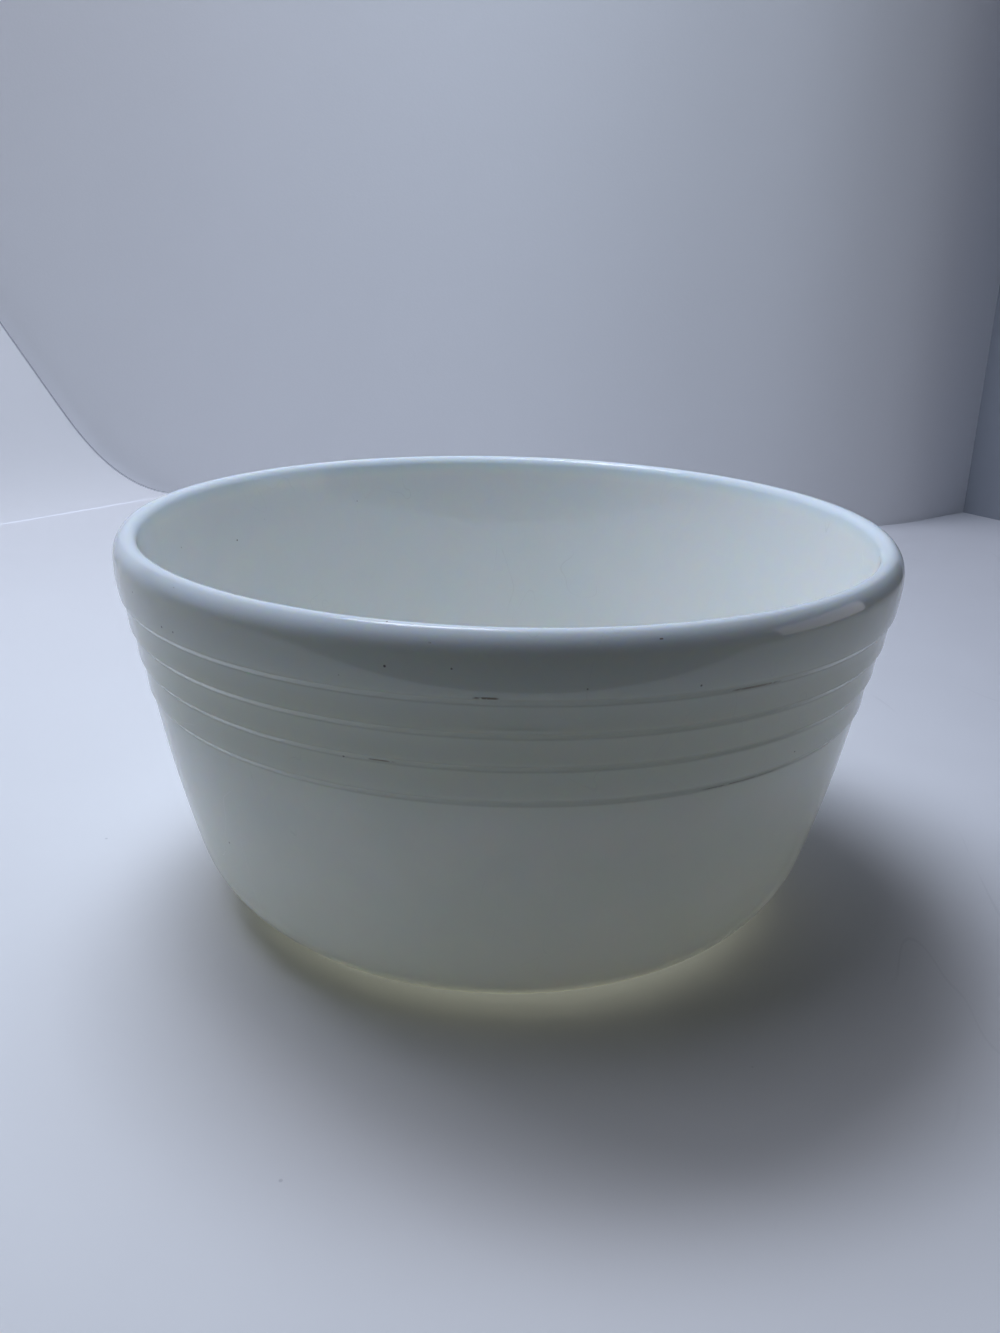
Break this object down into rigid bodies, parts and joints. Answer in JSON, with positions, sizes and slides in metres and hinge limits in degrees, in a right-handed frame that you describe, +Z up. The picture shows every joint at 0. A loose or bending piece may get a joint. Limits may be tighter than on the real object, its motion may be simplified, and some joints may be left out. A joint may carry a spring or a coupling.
{
  "type": "rice bowl",
  "caption": "Round opal glass rice bowl with a rolled rim, a plain collar over stepped bands, a leaning wall, a rounded heel and a flat foot ring; it holds rice or other food.",
  "frame": {"origin": "on the table, under the middle of the foot ring", "axes": "+Z up along the bowl's axis of revolution, out of its mouth; X and Y lie on the table and are interchangeable"},
  "size_m": [0.165, 0.165, 0.0835],
  "materials": {
    "opal_glass": "fire-polished opal (milk) glass, opaque white"
  },
  "bodies": {
    "root": {"bowl": "opal_glass"}
  },
  "joints": []
}
